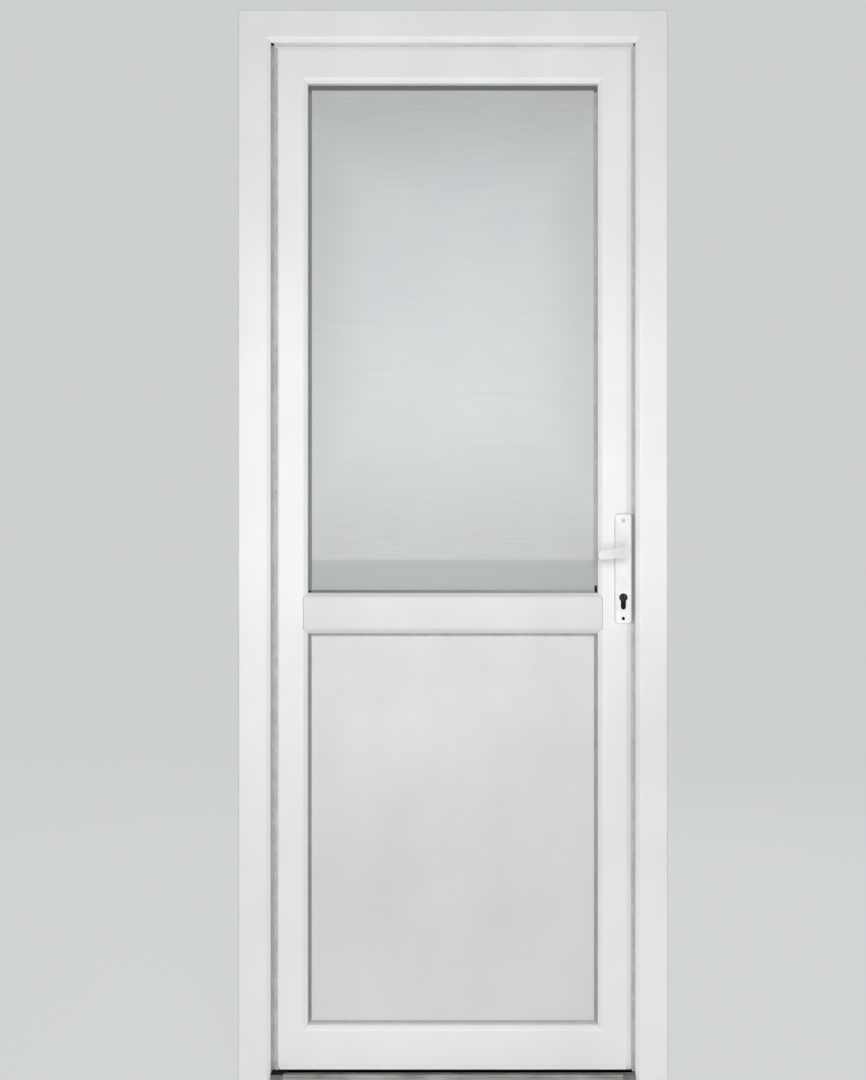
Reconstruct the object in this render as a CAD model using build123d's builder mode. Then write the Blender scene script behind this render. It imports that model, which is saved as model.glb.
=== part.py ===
"""Half-glazed white uPVC entrance door in its own frame, seen from outside.

Millimetres. X runs to the right, Y into the room and Z up. The origin is the middle of
the frame's underside, halfway through the frame's depth.
"""
from build123d import *
import math
import os

# Frame: outer size, section and the bevel along its front inner edge
frame_width = 880.0
frame_height = 2198.0
frame_depth = 70.0
frame_face = 66.0
frame_leg = 22.0
frame_rebate = 20.0
frame_bevel_width = 9.0
frame_bevel_depth = 6.0
frame_corner_radius = 5.0

# Gaps between the frame and the leaf
seal_gap = 3.0
hardware_gap = 12.0
touch_gap = 0.3

# Threshold between the jambs, and the leaf's clearance over it
threshold_height = 15.7
threshold_nose = 2.0
threshold_groove_height = 2.6
threshold_groove_depth = 3.0
threshold_groove_top = 13.4
threshold_gap = 4.7
end_block_width = 26.0
end_block_depth = 14.0

# Leaf: section of its stiles and rails
leaf_depth = 70.0
leaf_recess = 15.0
leaf_overlap = 20.0
nose_gap = 7.0
nose_top_gap = 2.5
nose_bevel_width = 10.0
nose_bevel_depth = 5.0
stile_face = 75.0
top_rail_face = 76.5
leaf_bevel_width = 9.0
leaf_bevel_depth = 6.0
glazing_lip = 20.0
glazing_rebate = 22.0
bottom_rail_height = 91.6
mid_rail_height = 83.5
mid_rail_bottom = 919.5

# Glazing: two panes and a spacer above, a flat panel below
gasket_thickness = 3.0
gasket_reveal = 4.0
gasket_seat = 18.0
glazing_margin = 5.0
pane_thickness = 4.0
pane_cavity = 16.0
spacer_width = 12.0
bead_chamfer = 8.0
block_length = 100.0
block_inset = 120.0

# Seals of the frame, of the leaf and under the leaf
seal_reveal = 5.0
seal_top_reveal = 1.5
seal_seat = 4.0
leaf_seal_width = 6.0
leaf_seal_inset = 1.0
brush_thickness = 6.0
brush_setback = 12.0
brush_gap = 0.5

# Handles: plates, levers and the spindle between them
spindle_setback = 32.5
spindle_height = 1086.0
spindle_width = 8.0
plate_width = 35.0
plate_above_spindle = 80.0
plate_below_spindle = 146.0
plate_thickness = 10.0
plate_corner_radius = 7.0
plate_edge_radius = 2.5
neck_radius = 8.0
neck_bore_radius = 5.0
running_gap = 0.1
grip_standoff = 30.0
grip_thickness = 12.0
grip_length = 57.0
grip_end = 8.0
grip_top_at_neck = 12.0
grip_bottom_at_neck = 11.0
grip_top_at_tip = 4.0
grip_bottom_at_tip = 14.0
grip_corner_radius = 6.0
grip_edge_radius = 3.0
socket_depth = 25.0

# Plate screws, one above the lever and one below the keyhole
screw_above_spindle = 66.0
screw_below_spindle = 135.0
screw_radius = 2.5
screw_head_radius = 4.0
screw_head_height = 3.0
screw_gap = 0.1
inner_screw_length = 40.0
empty_hole_radius = 3.5
empty_hole_depth = 40.0

# Lock: profile cylinder, case and long face plate in the leaf's edge
cylinder_below_spindle = 92.0
cylinder_radius = 8.5
cylinder_height = 33.0
cylinder_web = 10.0
cylinder_recess = 3.0
cylinder_gap = 0.3
plug_radius = 6.5
plug_length = 30.0
plug_gap = 0.05
key_slot_width = 2.0
key_slot_height = 9.0
key_slot_depth = 20.0
faceplate_width = 16.0
faceplate_thickness = 3.0
faceplate_bottom = 200.0
faceplate_drop = 250.0
case_thickness = 14.0
case_depth = 46.0
case_above_spindle = 44.0
case_below_spindle = 128.0
latch_height = 30.0
latch_thickness = 12.0
latch_reach = 2.0
latch_above_spindle = 5.0
latch_depth = 20.0
bolt_height = 34.0
bolt_below_spindle = 65.0

# Keeps on the lock jamb
keep_thickness = 3.0
keep_width = 22.0
keep_above_spindle = 114.0
keep_below_spindle = 186.0
end_keep_height = 90.0
low_keep_height = 430.0
high_keep_drop = 540.0
keep_hole_margin = 3.0
keep_pocket_depth = 16.0

# Hinges on the inside of the left jamb
bottom_hinge_height = 230.0
middle_hinge_drop = 640.0
top_hinge_drop = 240.0
hinge_length = 110.0
hinge_axis_gap = 6.0
hinge_axis_stand = 14.0
hinge_barrel_radius = 9.0
hinge_pin_radius = 4.0
hinge_pin_gap = 0.05
hinge_washer_gap = 0.3
hinge_cap = 6.0
hinge_plate_thickness = 4.0
hinge_leaf_plate_width = 46.0
hinge_leaf_plate_start = 12.0
hinge_frame_plate_margin = 4.0
hinge_web_thickness = 10.0
hinge_web_lift = 1.0

# Fixing holes through the jambs
fixing_radius = 4.2
fixing_count = 4
fixing_bottom_height = 250.0
fixing_drop = 300.0

# Places worked out from the sizes above
half_width = frame_width / 2
front = -frame_depth / 2
back = frame_depth / 2
leg_back = front + frame_leg
inner_edge = half_width - frame_face
rebate_edge = inner_edge + frame_rebate
head_inner = frame_height - frame_face
head_rebate = head_inner + frame_rebate
leaf_front = front + leaf_recess
leaf_back = leaf_front + leaf_depth
step_front = leg_back + seal_gap
nose_edge = inner_edge - nose_gap
nose_top = head_inner - nose_top_gap
leaf_middle = (leaf_front + leaf_back) / 2
overlap_front = back + seal_gap
body_edge = rebate_edge - hardware_gap
overlap_edge = body_edge + leaf_overlap
body_top = head_rebate - hardware_gap
overlap_top = body_top + leaf_overlap
leaf_bottom = threshold_height + threshold_gap
glass_edge = inner_edge - stile_face
glass_top = nose_top - top_rail_face
glass_bottom = mid_rail_bottom + mid_rail_height
panel_top = mid_rail_bottom
panel_bottom = leaf_bottom + bottom_rail_height
lip_back = leaf_front + glazing_lip
glazing_front = lip_back + gasket_thickness
unit_thickness = 2 * pane_thickness + pane_cavity
glazing_back = glazing_front + unit_thickness
bead_front = glazing_back + gasket_thickness
spindle_x = body_edge - spindle_setback
cylinder_z = spindle_height - cylinder_below_spindle
cylinder_foot = cylinder_z + cylinder_radius - cylinder_height + cylinder_web / 2
lock_y = (leg_back + back) / 2
hinge_x = -overlap_edge - hinge_axis_gap
hinge_y = leaf_back + hinge_axis_stand

os.makedirs("parts", exist_ok=True)


def save(piece, name):
    """Label a finished sub-part and write its file."""
    piece.part.label = name
    export_step(piece.part, f"parts/{name}.step")


def facing(y):
    """The upright plane at this depth, seen from outside."""
    return Plane.XZ.offset(-y)


def outline(points):
    """Fill the closed outline through these points in the sketch that is open."""
    with BuildLine() as edge_line:
        Polyline(*points, close=True)
    make_face(edge_line.edges())


def frame_section():
    """The frame's section as pairs of distance in from its outer face, and depth."""
    body = frame_face - frame_rebate
    return [
        (0, front),
        (frame_face - frame_bevel_width, front),
        (frame_face, front + frame_bevel_depth),
        (frame_face, leg_back),
        (body, leg_back),
        (body, back),
        (0, back),
    ]


def leaf_face(nose):
    """The part of a leaf section from the glazing rebate to the nose's bevelled edge.

    Like every section it is pairs of distance out from the glass edge, and depth.
    """
    return [
        (glazing_rebate, leaf_back),
        (glazing_rebate, lip_back),
        (0, lip_back),
        (0, leaf_front + leaf_bevel_depth),
        (leaf_bevel_width, leaf_front),
        (nose - nose_bevel_width, leaf_front),
        (nose, leaf_front + nose_bevel_depth),
    ]


def leaf_section(nose, body):
    """The section of a stile or the top rail: its nose, its body and its overlap."""
    return leaf_face(nose) + [
        (nose, step_front),
        (body, step_front),
        (body, overlap_front),
        (body + leaf_overlap, overlap_front),
        (body + leaf_overlap, leaf_back),
    ]


def bead_section():
    """A glazing bead's section as pairs of distance out from the glass edge, and depth."""
    return [
        (0, bead_front),
        (glazing_rebate, bead_front),
        (glazing_rebate, leaf_back),
        (bead_chamfer, leaf_back),
        (0, leaf_back - bead_chamfer),
    ]


def mitre(corner_x, corner_z, reach_x, reach_z, upright):
    """Cut the end of the bar that is open along the 45 degree line out of a corner.

    The line leaves the corner by reach_x and reach_z. An upright bar loses what lies above
    or below the line, and a level bar what lies beside it.
    """
    side_corner = (corner_x, corner_z + reach_z) if upright else (corner_x + reach_x, corner_z)
    with BuildSketch(facing(front)) as wedge:
        outline([(corner_x, corner_z), (corner_x + reach_x, corner_z + reach_z), side_corner])
    extrude(wedge.sketch, amount=-(leaf_back - front), mode=Mode.SUBTRACT)


def block(x0, x1, y0, y1, z0, z1, mode=Mode.ADD):
    """A box between two corners, in the part that is open."""
    centre = ((x0 + x1) / 2, (y0 + y1) / 2, (z0 + z1) / 2)
    with Locations(centre):
        Box(x1 - x0, y1 - y0, z1 - z0, mode=mode)


def ring(y, thickness, outer, inner):
    """A flat ring in the part that is open, between two upright rectangles.

    Each rectangle is its half width, its bottom and its top.
    """
    with BuildSketch(facing(y)) as flat:
        for (half, bottom, top), mode in ((outer, Mode.ADD), (inner, Mode.SUBTRACT)):
            with Locations((0, (bottom + top) / 2)):
                Rectangle(2 * half, top - bottom, mode=mode)
    extrude(flat.sketch, amount=-thickness)


def cylinder_profile(grow):
    """The lock cylinder's keyhole-shaped outline, made larger by grow, in the open sketch."""
    width = cylinder_web + 2 * grow
    with Locations((spindle_x, cylinder_z)):
        Circle(cylinder_radius + grow)
    with Locations((spindle_x, (cylinder_z + cylinder_foot) / 2)):
        Rectangle(width, cylinder_z - cylinder_foot)
    with Locations((spindle_x, cylinder_foot)):
        Circle(width / 2)


def round_bore(x, z, radius, y0, y1):
    """Cut a round hole along Y between two depths in the part that is open."""
    with BuildSketch(facing(y0)) as mouth:
        with Locations((x, z)):
            Circle(radius)
    extrude(mouth.sketch, amount=-(y1 - y0), mode=Mode.SUBTRACT)


def cylinder_bore(y0, y1):
    """Cut the lock cylinder's passage between two depths in the part that is open."""
    with BuildSketch(facing(y0)) as mouth:
        cylinder_profile(cylinder_gap)
    extrude(mouth.sketch, amount=-(y1 - y0), mode=Mode.SUBTRACT)


fixing_pitch = (frame_height - fixing_drop - fixing_bottom_height) / (fixing_count - 1)
faceplate_top = frame_height - faceplate_drop
high_keep_height = frame_height - high_keep_drop
screw_levels = {
    "top": spindle_height + screw_above_spindle,
    "bottom": spindle_height - screw_below_spindle,
}
fixing_levels = [fixing_bottom_height + index * fixing_pitch for index in range(fixing_count)]
latch_z = spindle_height + latch_above_spindle
bolt_z = spindle_height - bolt_below_spindle
latch_levels = ((latch_z, latch_height), (bolt_z, bolt_height))
case_bottom = spindle_height - case_below_spindle
case_top = spindle_height + case_above_spindle
hinge_levels = (bottom_hinge_height, frame_height - middle_hinge_drop,
                frame_height - top_hinge_drop)


# Frame
def corner_round(side):
    """Round the frame's upper outer corner in the part that is open."""
    with BuildSketch(facing(front)) as corner:
        with Locations((side * half_width, frame_height)):
            Rectangle(2 * frame_corner_radius, 2 * frame_corner_radius)
        with Locations((side * (half_width - frame_corner_radius), frame_height - frame_corner_radius)):
            Circle(frame_corner_radius, mode=Mode.SUBTRACT)
    extrude(corner.sketch, amount=-frame_depth, mode=Mode.SUBTRACT)


def frame_jamb(side):
    """An upright of the frame, mitred to the head, with its fixing holes."""
    with BuildPart() as jamb:
        with BuildSketch(Plane.XY):
            outline([(side * (half_width - across), y) for across, y in frame_section()])
        extrude(amount=frame_height)
        mitre(side * inner_edge, head_inner, side * frame_face, frame_face, True)
        corner_round(side)
        with BuildSketch(Plane.YZ.offset(side * rebate_edge)):
            with Locations(*[(lock_y, level) for level in fixing_levels]):
                Circle(fixing_radius)
        extrude(amount=side * (half_width - rebate_edge), mode=Mode.SUBTRACT)
        if side > 0:
            for level, height in latch_levels:
                half = height / 2 + keep_hole_margin
                deep = rebate_edge + keep_pocket_depth
                width = latch_thickness / 2 + keep_hole_margin
                block(rebate_edge, deep, lock_y - width, lock_y + width,
                      level - half, level + half, Mode.SUBTRACT)
    return jamb


jamb_left = frame_jamb(-1)
save(jamb_left, "frame_jamb_left")
jamb_right = frame_jamb(1)
save(jamb_right, "frame_jamb_right")

with BuildPart() as head:
    with BuildSketch(Plane.YZ.offset(-half_width)):
        outline([(y, frame_height - across) for across, y in frame_section()])
    extrude(amount=frame_width)
    for side in (-1, 1):
        mitre(side * inner_edge, head_inner, side * frame_face, frame_face, False)
        corner_round(side)
save(head, "frame_head")

with BuildPart() as threshold:
    groove_bottom = threshold_groove_top - threshold_groove_height
    with BuildSketch(Plane.YZ.offset(-inner_edge)):
        outline([
            (front, 0),
            (front, groove_bottom),
            (front + threshold_groove_depth, groove_bottom),
            (front + threshold_groove_depth, threshold_groove_top),
            (front, threshold_groove_top),
            (front + threshold_nose, threshold_height),
            (back - threshold_nose, threshold_height),
            (back, threshold_height - threshold_nose),
            (back, 0),
        ])
    extrude(amount=2 * inner_edge)
    for side in (-1, 1):
        inner, outer = sorted((side * inner_edge, side * rebate_edge))
        block(inner, outer, leg_back, back - threshold_nose, 0, threshold_height)
    for side in (-1, 1):
        inner, outer = sorted((side * (inner_edge - end_block_width), side * inner_edge))
        block(inner, outer, front, front + end_block_depth, 0, threshold_height, Mode.SUBTRACT)
save(threshold, "threshold")

with BuildPart() as end_blocks:
    for side in (-1, 1):
        inner, outer = sorted((side * (inner_edge - end_block_width), side * inner_edge))
        block(inner, outer, front, front + end_block_depth, 0, threshold_height)
save(end_blocks, "threshold_end_blocks")

with BuildPart() as frame_seal:
    with BuildSketch(facing(leg_back)):
        with Locations((0, (threshold_height + head_inner + seal_seat) / 2)):
            Rectangle(2 * (inner_edge + seal_seat), head_inner + seal_seat - threshold_height)
        lip_top = head_inner - seal_top_reveal
        with Locations((0, (threshold_height + lip_top) / 2)):
            Rectangle(2 * (inner_edge - seal_reveal), lip_top - threshold_height, mode=Mode.SUBTRACT)
    extrude(amount=-(seal_gap - touch_gap))
save(frame_seal, "frame_seal")


# Keeps
def keep_plate(bottom, height, holes):
    """A strike plate on the lock jamb, with a hole for each bolt that enters it."""
    face = rebate_edge - keep_thickness
    block(face, rebate_edge, lock_y - keep_width / 2, lock_y + keep_width / 2,
          bottom, bottom + height)
    for level, tall in holes:
        half = tall / 2 + keep_hole_margin
        width = latch_thickness / 2 + keep_hole_margin
        block(face, rebate_edge, lock_y - width, lock_y + width,
              level - half, level + half, Mode.SUBTRACT)


with BuildPart() as keep_centre:
    keep_plate(spindle_height - keep_below_spindle, keep_below_spindle + keep_above_spindle,
               latch_levels)
save(keep_centre, "keep_centre")

with BuildPart() as keep_ends:
    for level in (low_keep_height, high_keep_height):
        keep_plate(level - end_keep_height / 2, end_keep_height, ())
save(keep_ends, "keep_ends")


# Leaf
def leaf_stile(side):
    """A stile of the leaf, mitred to the top and bottom rails."""
    with BuildPart() as stile:
        with BuildSketch(Plane.XY.offset(leaf_bottom)):
            section = leaf_section(nose_edge - glass_edge, body_edge - glass_edge)
            outline([(side * (glass_edge + out), y) for out, y in section])
        reach = overlap_edge - glass_edge
        extrude(amount=glass_top + reach - leaf_bottom)
        mitre(side * glass_edge, glass_top, side * reach, reach, True)
        mitre(side * glass_edge, panel_bottom, side * reach, -reach, True)
    return stile


stile_hinge = leaf_stile(-1)
save(stile_hinge, "stile_hinge_side")
plain_stile = leaf_stile(1)

with BuildPart() as stile_lock:
    add(plain_stile.part)
    block(body_edge - faceplate_thickness, body_edge, lock_y - faceplate_width / 2,
          lock_y + faceplate_width / 2, faceplate_bottom, faceplate_top, Mode.SUBTRACT)
    case_back = body_edge - faceplate_thickness
    block(case_back - case_depth, case_back, lock_y - case_thickness / 2,
          lock_y + case_thickness / 2, case_bottom, case_top, Mode.SUBTRACT)
    round_bore(spindle_x, spindle_height, neck_radius + neck_bore_radius, leaf_front, leaf_back)
    cylinder_bore(leaf_front, leaf_back)
    for level in screw_levels.values():
        round_bore(spindle_x, level, screw_radius + screw_gap, leaf_front, leaf_back)
    round_bore(spindle_x, screw_levels["bottom"], empty_hole_radius, leaf_front,
               leaf_front + empty_hole_depth - inner_screw_length / 2)
save(stile_lock, "stile_lock_side")


def trim_ends(low, high):
    """Trim the ends of the rail that is open to the stiles' outer steps, between two levels."""
    for side in (-1, 1):
        for edge, depth in ((nose_edge, step_front), (body_edge, overlap_front)):
            inner, outer = sorted((side * edge, side * overlap_edge))
            block(inner, outer, leaf_front, depth, low, high, Mode.SUBTRACT)
        with BuildSketch(Plane.XY.offset(low)) as bevel:
            outline([
                (side * (nose_edge - nose_bevel_width), leaf_front),
                (side * nose_edge, leaf_front + nose_bevel_depth),
                (side * nose_edge, leaf_front),
            ])
        extrude(bevel.sketch, amount=high - low, mode=Mode.SUBTRACT)


with BuildPart() as top_rail:
    with BuildSketch(Plane.YZ.offset(-overlap_edge)):
        section = leaf_section(nose_top - glass_top, body_top - glass_top)
        outline([(y, glass_top + out) for out, y in section])
    extrude(amount=2 * overlap_edge)
    for side in (-1, 1):
        reach = overlap_edge - glass_edge
        mitre(side * glass_edge, glass_top, side * reach, reach, False)
    trim_ends(glass_top, overlap_top)
save(top_rail, "top_rail")

with BuildPart() as bottom_rail:
    with BuildSketch(Plane.YZ.offset(-overlap_edge)):
        section = leaf_face(bottom_rail_height) + [(bottom_rail_height, leaf_back)]
        outline([(y, panel_bottom - out) for out, y in section])
    extrude(amount=2 * overlap_edge)
    for side in (-1, 1):
        reach = overlap_edge - glass_edge
        mitre(side * glass_edge, panel_bottom, side * reach, -reach, False)
    trim_ends(leaf_bottom, panel_bottom)
save(bottom_rail, "bottom_rail")

with BuildPart() as mid_rail:
    half_reach = glass_edge + glazing_rebate
    with BuildSketch(Plane.YZ.offset(-half_reach)):
        outline([
            (leaf_front, panel_top + leaf_bevel_width),
            (leaf_front + leaf_bevel_depth, panel_top),
            (lip_back, panel_top),
            (lip_back, panel_top + glazing_rebate),
            (leaf_back, panel_top + glazing_rebate),
            (leaf_back, glass_bottom - glazing_rebate),
            (lip_back, glass_bottom - glazing_rebate),
            (lip_back, glass_bottom),
            (leaf_front + leaf_bevel_depth, glass_bottom),
            (leaf_front, glass_bottom - leaf_bevel_width),
        ])
    extrude(amount=2 * half_reach)
    add(stile_hinge.part, mode=Mode.SUBTRACT)
    add(plain_stile.part, mode=Mode.SUBTRACT)
save(mid_rail, "mid_rail")

# Glazing: each opening is its half width, its bottom and its top
glass_opening = (glass_edge, glass_bottom, glass_top)
panel_opening = (glass_edge, panel_bottom, panel_top)


def grown(opening, distance):
    """An opening made larger all round by a distance."""
    half, bottom, top = opening
    return (half + distance, bottom - distance, top + distance)


def sheet(opening, y, thickness):
    """A flat sheet behind an opening's lips, in the part that is open."""
    half, bottom, top = grown(opening, glazing_rebate - glazing_margin)
    block(-half, half, y, y + thickness, bottom, top)


with BuildPart() as glass_outer:
    sheet(glass_opening, glazing_front, pane_thickness)
save(glass_outer, "glass_outer_pane")

with BuildPart() as glass_spacer:
    pane_edge = grown(glass_opening, glazing_rebate - glazing_margin)
    ring(glazing_front + pane_thickness, pane_cavity, pane_edge, grown(pane_edge, -spacer_width))
save(glass_spacer, "glass_spacer")

with BuildPart() as glass_inner:
    sheet(glass_opening, glazing_back - pane_thickness, pane_thickness)
save(glass_inner, "glass_inner_pane")

with BuildPart() as lower_panel:
    sheet(panel_opening, glazing_front, unit_thickness)
save(lower_panel, "lower_panel")

with BuildPart() as setting_blocks:
    for opening in (glass_opening, panel_opening):
        half, bottom, top = grown(opening, glazing_rebate)
        for side in (-1, 1):
            centre = side * (half - block_inset)
            block(centre - block_length / 2, centre + block_length / 2, glazing_front,
                  glazing_back, bottom, bottom + glazing_margin)
save(setting_blocks, "setting_blocks")

for opening, label in ((glass_opening, "glass"), (panel_opening, "panel")):
    for y, side_label in ((lip_back, "outer"), (glazing_back, "inner")):
        with BuildPart() as gasket:
            ring(y, gasket_thickness, grown(opening, gasket_seat), grown(opening, -gasket_reveal))
        save(gasket, f"{label}_gasket_{side_label}")


def bead_pair(opening, upright):
    """The two upright or the two level beads of an opening, mitred at their ends."""
    half, bottom, top = opening
    wide = glazing_rebate
    with BuildPart() as beads:
        if upright:
            for side in (-1, 1):
                with BuildSketch(Plane.XY.offset(bottom - wide)):
                    outline([(side * (half + out), y) for out, y in bead_section()])
                extrude(amount=top - bottom + 2 * wide)
        else:
            for edge, sign in ((top, 1), (bottom, -1)):
                with BuildSketch(Plane.YZ.offset(-half - wide)):
                    outline([(y, edge + sign * out) for out, y in bead_section()])
                extrude(amount=2 * (half + wide))
        for side in (-1, 1):
            mitre(side * half, top, side * wide, wide, upright)
            mitre(side * half, bottom, side * wide, -wide, upright)
    return beads


for opening, label in ((glass_opening, "glass"), (panel_opening, "panel")):
    save(bead_pair(opening, True), f"{label}_beads_upright")
    save(bead_pair(opening, False), f"{label}_beads_level")

# Seals on the leaf
with BuildPart() as leaf_seal:
    outer_half = overlap_edge - leaf_seal_inset
    outer_top = overlap_top - leaf_seal_inset
    inner_half = outer_half - leaf_seal_width
    inner_top = outer_top - leaf_seal_width
    with BuildSketch(facing(back + touch_gap)):
        with Locations((0, (leaf_bottom + outer_top) / 2)):
            Rectangle(2 * outer_half, outer_top - leaf_bottom)
        with Locations((0, (leaf_bottom + inner_top) / 2)):
            Rectangle(2 * inner_half, inner_top - leaf_bottom, mode=Mode.SUBTRACT)
    extrude(amount=-(seal_gap - touch_gap))
save(leaf_seal, "leaf_seal")

with BuildPart() as bottom_brush:
    brush_y = leaf_front + brush_setback
    block(-body_edge, body_edge, brush_y, brush_y + brush_thickness,
          threshold_height + brush_gap, leaf_bottom)
save(bottom_brush, "bottom_brush")


# Handles
def handle_plate(y0, y1, outer_face):
    """A long handle plate between two depths, rounded on its outer face."""
    top = spindle_height + plate_above_spindle
    bottom = spindle_height - plate_below_spindle
    with BuildPart() as plate:
        with BuildSketch(facing(y0)):
            with Locations((spindle_x, (top + bottom) / 2)):
                RectangleRounded(plate_width, top - bottom, plate_corner_radius)
        extrude(amount=-(y1 - y0))
        rim = plate.faces().sort_by(Axis.Y)[-1 if outer_face == y1 else 0].edges()
        fillet(rim, radius=plate_edge_radius)
        round_bore(spindle_x, spindle_height, neck_radius + running_gap, y0, y1)
        cylinder_bore(y0, y1)
    return plate


plate_front = leaf_front - plate_thickness
plate_back = leaf_back + plate_thickness
plain_plate_outer = handle_plate(plate_front, leaf_front, plate_front)
plain_plate_inner = handle_plate(leaf_back, plate_back, plate_back)

with BuildPart() as plate_outer:
    add(plain_plate_outer.part)
    round_bore(spindle_x, screw_levels["top"], screw_radius + screw_gap, plate_front, leaf_front)
    round_bore(spindle_x, screw_levels["top"], screw_head_radius + screw_gap, plate_front,
               plate_front + screw_head_height)
    round_bore(spindle_x, screw_levels["bottom"], empty_hole_radius, plate_front, leaf_front)
save(plate_outer, "handle_plate_outer")

with BuildPart() as plate_inner:
    add(plain_plate_inner.part)
    for level in screw_levels.values():
        round_bore(spindle_x, level, screw_radius + screw_gap, leaf_back, plate_back)
        round_bore(spindle_x, level, screw_head_radius + screw_gap,
                   plate_back - screw_head_height, plate_back)
save(plate_inner, "handle_plate_inner")


def grip_outline():
    """The lever's outline seen from outside, with its tip towards the hinges."""
    neck_side = spindle_x + grip_end
    tip = spindle_x - grip_length
    points = [
        (neck_side, spindle_height + grip_top_at_neck),
        (spindle_x - grip_end, spindle_height + grip_top_at_neck),
        (tip, spindle_height + grip_top_at_tip),
        (tip, spindle_height - grip_bottom_at_tip),
        (spindle_x - grip_end, spindle_height - grip_bottom_at_neck),
        (neck_side, spindle_height - grip_bottom_at_neck),
    ]
    with BuildLine() as edge_line:
        FilletPolyline(*points, radius=grip_corner_radius, close=True)
    make_face(edge_line.edges())


def lever(grip_face, plate_face, neck_end):
    """A lever: a flat grip parallel to the leaf on a round neck with a square socket.

    grip_face is the grip's far face, plate_face the handle plate's face and neck_end where
    the neck stops inside the plate.
    """
    outward = 1 if grip_face > plate_face else -1
    near_face = grip_face - outward * grip_thickness
    neck = sorted((near_face, neck_end))
    socket = sorted((neck_end, neck_end + outward * socket_depth))
    half = spindle_width / 2
    with BuildPart() as handle:
        with BuildSketch(facing(min(grip_face, near_face))):
            grip_outline()
        extrude(amount=-grip_thickness)
        fillet(handle.faces().filter_by(Axis.Y).edges(), radius=grip_edge_radius)
        with BuildSketch(facing(neck[0])):
            with Locations((spindle_x, spindle_height)):
                Circle(neck_radius)
        extrude(amount=-(neck[1] - neck[0]))
        block(spindle_x - half, spindle_x + half, socket[0], socket[1],
              spindle_height - half, spindle_height + half, Mode.SUBTRACT)
    return handle


grip_front = plate_front - grip_standoff - grip_thickness
grip_back = plate_back + grip_standoff + grip_thickness
save(lever(grip_front, plate_front, leaf_front), "lever_outer")
save(lever(grip_back, plate_back, leaf_back), "lever_inner")

with BuildPart() as spindle:
    half = spindle_width / 2
    block(spindle_x - half, spindle_x + half, leaf_front - socket_depth, leaf_back + socket_depth,
          spindle_height - half, spindle_height + half)
save(spindle, "spindle")


def screw(level, head_face, shank_end):
    """A handle screw: a round head flush with a plate, and its shank."""
    inward = 1 if shank_end > head_face else -1
    head_end = head_face + inward * screw_head_height
    for radius, ends in ((screw_head_radius, (head_face, head_end)),
                         (screw_radius, (head_end, shank_end))):
        low, high = sorted(ends)
        with BuildSketch(facing(low)) as disc:
            with Locations((spindle_x, level)):
                Circle(radius)
        extrude(disc.sketch, amount=-(high - low))


with BuildPart() as plate_screws:
    screw(screw_levels["top"], plate_front, leaf_middle - touch_gap)
    screw(screw_levels["top"], plate_back, leaf_middle + touch_gap)
    screw(screw_levels["bottom"], plate_back, plate_back - inner_screw_length)
save(plate_screws, "plate_screws")

# Lock
cylinder_front = plate_front + cylinder_recess
cylinder_back = plate_back - cylinder_recess
with BuildPart() as lock_cylinder:
    with BuildSketch(facing(cylinder_front)):
        cylinder_profile(0)
    extrude(amount=-(cylinder_back - cylinder_front))
    for low in (cylinder_front, cylinder_back - plug_length):
        round_bore(spindle_x, cylinder_z, plug_radius + plug_gap, low, low + plug_length)
save(lock_cylinder, "lock_cylinder")

with BuildPart() as cylinder_plugs:
    for low in (cylinder_front, cylinder_back - plug_length):
        with BuildSketch(facing(low)):
            with Locations((spindle_x, cylinder_z)):
                Circle(plug_radius)
        extrude(amount=-plug_length)
    for low in (cylinder_front, cylinder_back - key_slot_depth):
        block(spindle_x - key_slot_width / 2, spindle_x + key_slot_width / 2, low,
              low + key_slot_depth, cylinder_z - key_slot_height / 2,
              cylinder_z + key_slot_height / 2, Mode.SUBTRACT)
save(cylinder_plugs, "cylinder_plugs")

with BuildPart() as lock_case:
    block(body_edge - faceplate_thickness, body_edge, lock_y - faceplate_width / 2,
          lock_y + faceplate_width / 2, faceplate_bottom, faceplate_top)
    block(case_back - case_depth, case_back, lock_y - case_thickness / 2,
          lock_y + case_thickness / 2, case_bottom, case_top)
    case_front = lock_y - faceplate_width / 2
    case_rear = lock_y + faceplate_width / 2
    spindle_corner = math.hypot(spindle_width, spindle_width) / 2
    round_bore(spindle_x, spindle_height, spindle_corner + running_gap, case_front, case_rear)
    cylinder_bore(case_front, case_rear)
    for level, height in latch_levels:
        block(body_edge - latch_depth, body_edge, lock_y - latch_thickness / 2,
              lock_y + latch_thickness / 2, level - height / 2, level + height / 2, Mode.SUBTRACT)
save(lock_case, "lock_case")

for name, (level, height) in zip(("latch_bolt", "dead_bolt"), latch_levels):
    with BuildPart() as tongue:
        block(body_edge - latch_depth, body_edge + latch_reach, lock_y - latch_thickness / 2,
              lock_y + latch_thickness / 2, level - height / 2, level + height / 2)
    save(tongue, name)


# Hinges
def barrel(low, high):
    """A hinge barrel about the hinge axis, in the part that is open."""
    with BuildSketch(Plane.XY.offset(low)) as disc:
        with Locations((hinge_x, hinge_y)):
            Circle(hinge_barrel_radius)
    extrude(disc.sketch, amount=high - low)


def pin_bore(low, high):
    """Cut the pin's hole in a hinge barrel."""
    with BuildSketch(Plane.XY.offset(low)) as mouth:
        with Locations((hinge_x, hinge_y)):
            Circle(hinge_pin_radius + hinge_pin_gap)
    extrude(mouth.sketch, amount=high - low, mode=Mode.SUBTRACT)


def hinge_on_frame(level):
    """The lower half of a hinge: its plate, its block and the barrel that holds the pin."""
    bottom = level - hinge_length / 2
    plate_left = -half_width + hinge_frame_plate_margin
    with BuildPart() as half:
        block(plate_left, hinge_x, back, back + hinge_plate_thickness, bottom,
              bottom + hinge_length)
        block(plate_left + hinge_barrel_radius, hinge_x, back, hinge_y, bottom, level)
        barrel(bottom, level)
        pin_bore(bottom + hinge_cap, level)
    return half


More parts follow.
